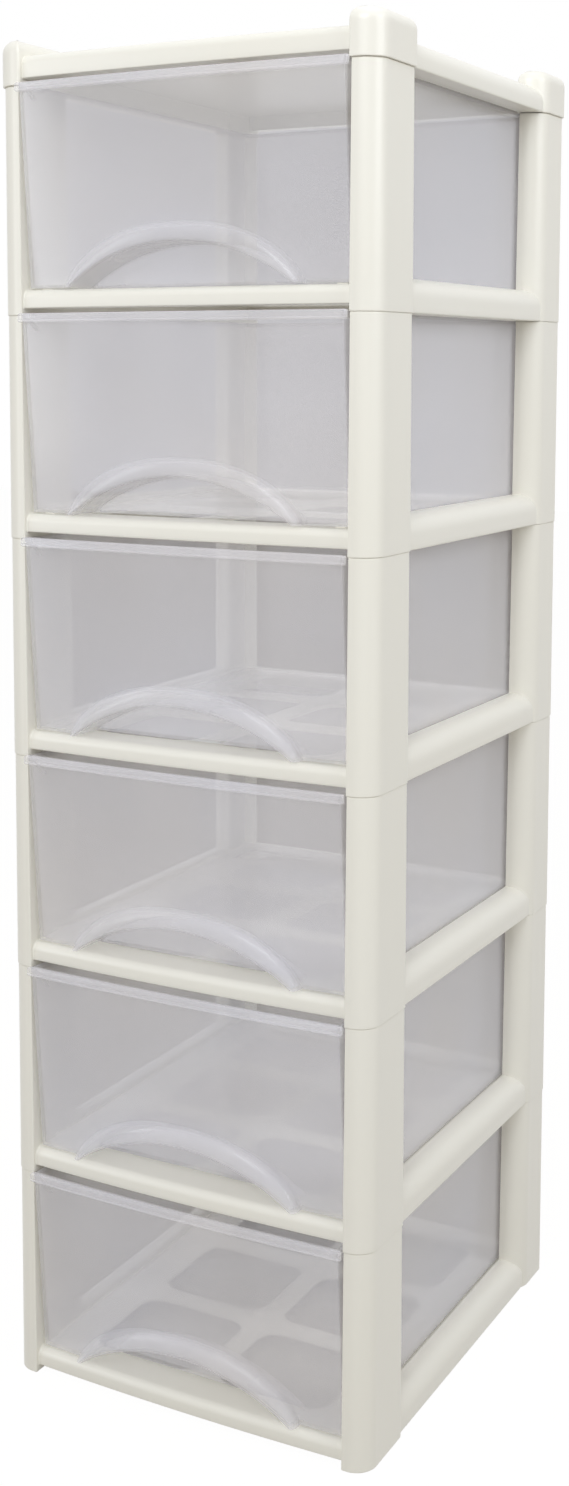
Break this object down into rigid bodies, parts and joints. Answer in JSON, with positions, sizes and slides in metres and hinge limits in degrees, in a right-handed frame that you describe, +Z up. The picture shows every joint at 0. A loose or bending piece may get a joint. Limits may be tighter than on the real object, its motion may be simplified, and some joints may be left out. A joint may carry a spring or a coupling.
{
  "type": "drawer tower",
  "caption": "Free-standing stacked plastic tower of ivory frames with clear pull-out drawers, each with an arched finger grip, under a cover with domed corner caps.",
  "frame": {"origin": "on the floor, under the middle of the outline", "axes": "+Z up, -Y out of the drawer fronts, +X to the right of someone facing them"},
  "size_m": [0.302, 0.353, 0.992],
  "materials": {
    "ivory_plastic": "ivory polypropylene with a soft satin gloss",
    "clear_plastic": "clear, slightly milky polypropylene, glossy"
  },
  "bodies": {
    "tower": {"tier_frame_1": "ivory_plastic", "tier_frame_2": "ivory_plastic", "tier_frame_3": "ivory_plastic", "tier_frame_4": "ivory_plastic", "tier_frame_5": "ivory_plastic", "tier_frame_6": "ivory_plastic", "top_cover": "ivory_plastic"},
    "drawer_1": {"drawer_1": "clear_plastic"},
    "drawer_2": {"drawer_2": "clear_plastic"},
    "drawer_3": {"drawer_3": "clear_plastic"},
    "drawer_4": {"drawer_4": "clear_plastic"},
    "drawer_5": {"drawer_5": "clear_plastic"},
    "drawer_6": {"drawer_6": "clear_plastic"}
  },
  "joints": [
    {"name": "drawer_1_slide", "type": "slide", "parent": "tower", "child": "drawer_1", "axis": [0, -1, 0], "range_m": [0, 0.25]},
    {"name": "drawer_2_slide", "type": "slide", "parent": "tower", "child": "drawer_2", "axis": [0, -1, 0], "range_m": [0, 0.25]},
    {"name": "drawer_3_slide", "type": "slide", "parent": "tower", "child": "drawer_3", "axis": [0, -1, 0], "range_m": [0, 0.25]},
    {"name": "drawer_4_slide", "type": "slide", "parent": "tower", "child": "drawer_4", "axis": [0, -1, 0], "range_m": [0, 0.25]},
    {"name": "drawer_5_slide", "type": "slide", "parent": "tower", "child": "drawer_5", "axis": [0, -1, 0], "range_m": [0, 0.25]},
    {"name": "drawer_6_slide", "type": "slide", "parent": "tower", "child": "drawer_6", "axis": [0, -1, 0], "range_m": [0, 0.25]}
  ]
}
